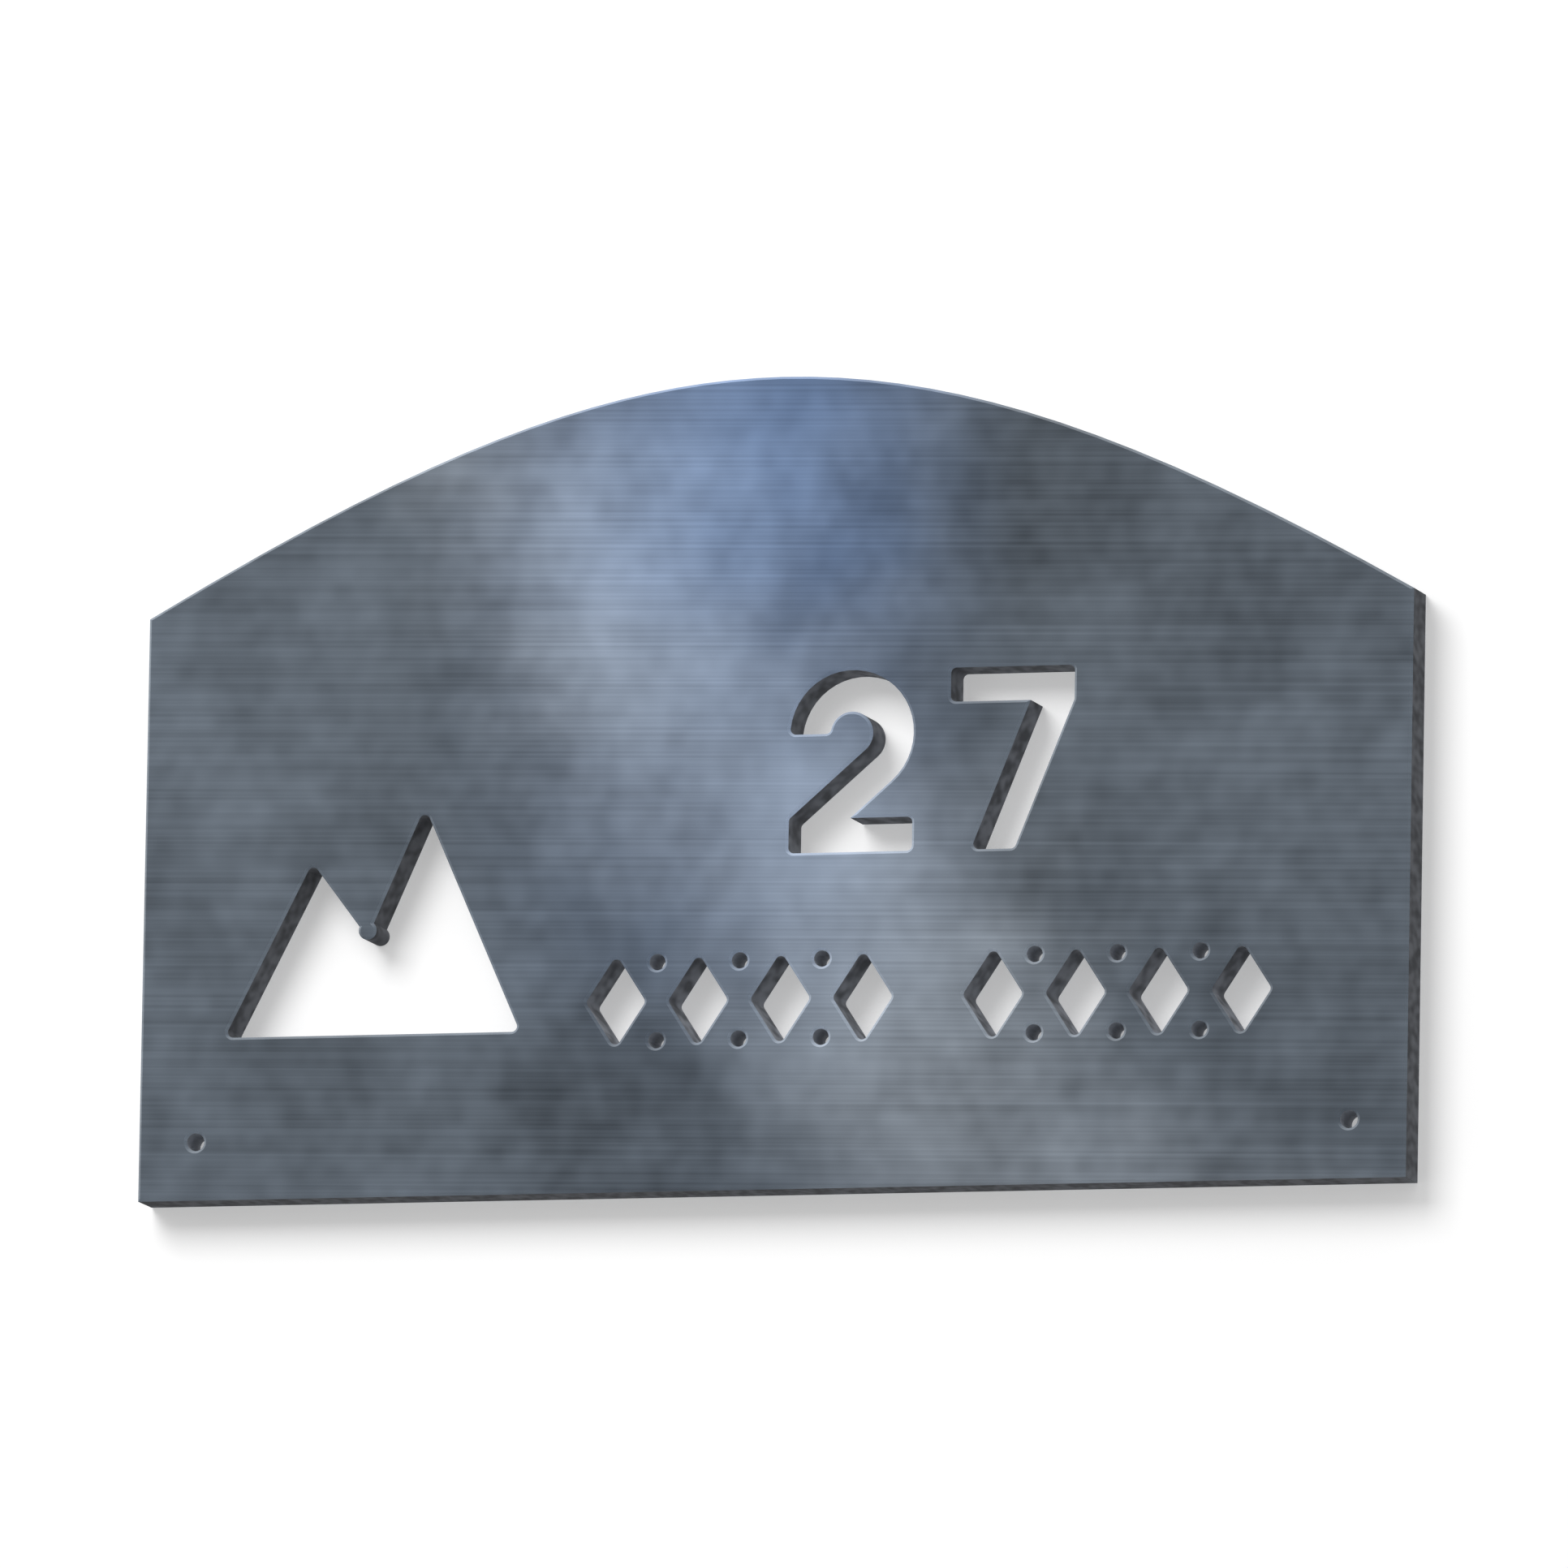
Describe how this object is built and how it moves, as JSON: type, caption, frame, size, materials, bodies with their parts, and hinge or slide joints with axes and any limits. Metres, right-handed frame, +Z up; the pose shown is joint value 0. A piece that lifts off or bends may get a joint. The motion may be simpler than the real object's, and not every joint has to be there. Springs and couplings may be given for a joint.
{
  "type": "address plaque",
  "caption": "Arched flat steel plate for a wall, cut right through with a two-peaked mountain, plain numerals and a lozenge band, with screw holes in its lower corners.",
  "frame": {"origin": "on the wall plane, halfway between the centres of the two screw holes", "axes": "+X to the viewer's right along the wall, +Y into the wall, +Z up; the front face looks along -Y"},
  "size_m": [0.4, 0.015, 0.25],
  "materials": {
    "plate_steel": "brushed blue-grey steel with cloudy mottling, dark cut edges"
  },
  "bodies": {
    "root": {"plaque_plate": "plate_steel"}
  },
  "joints": []
}
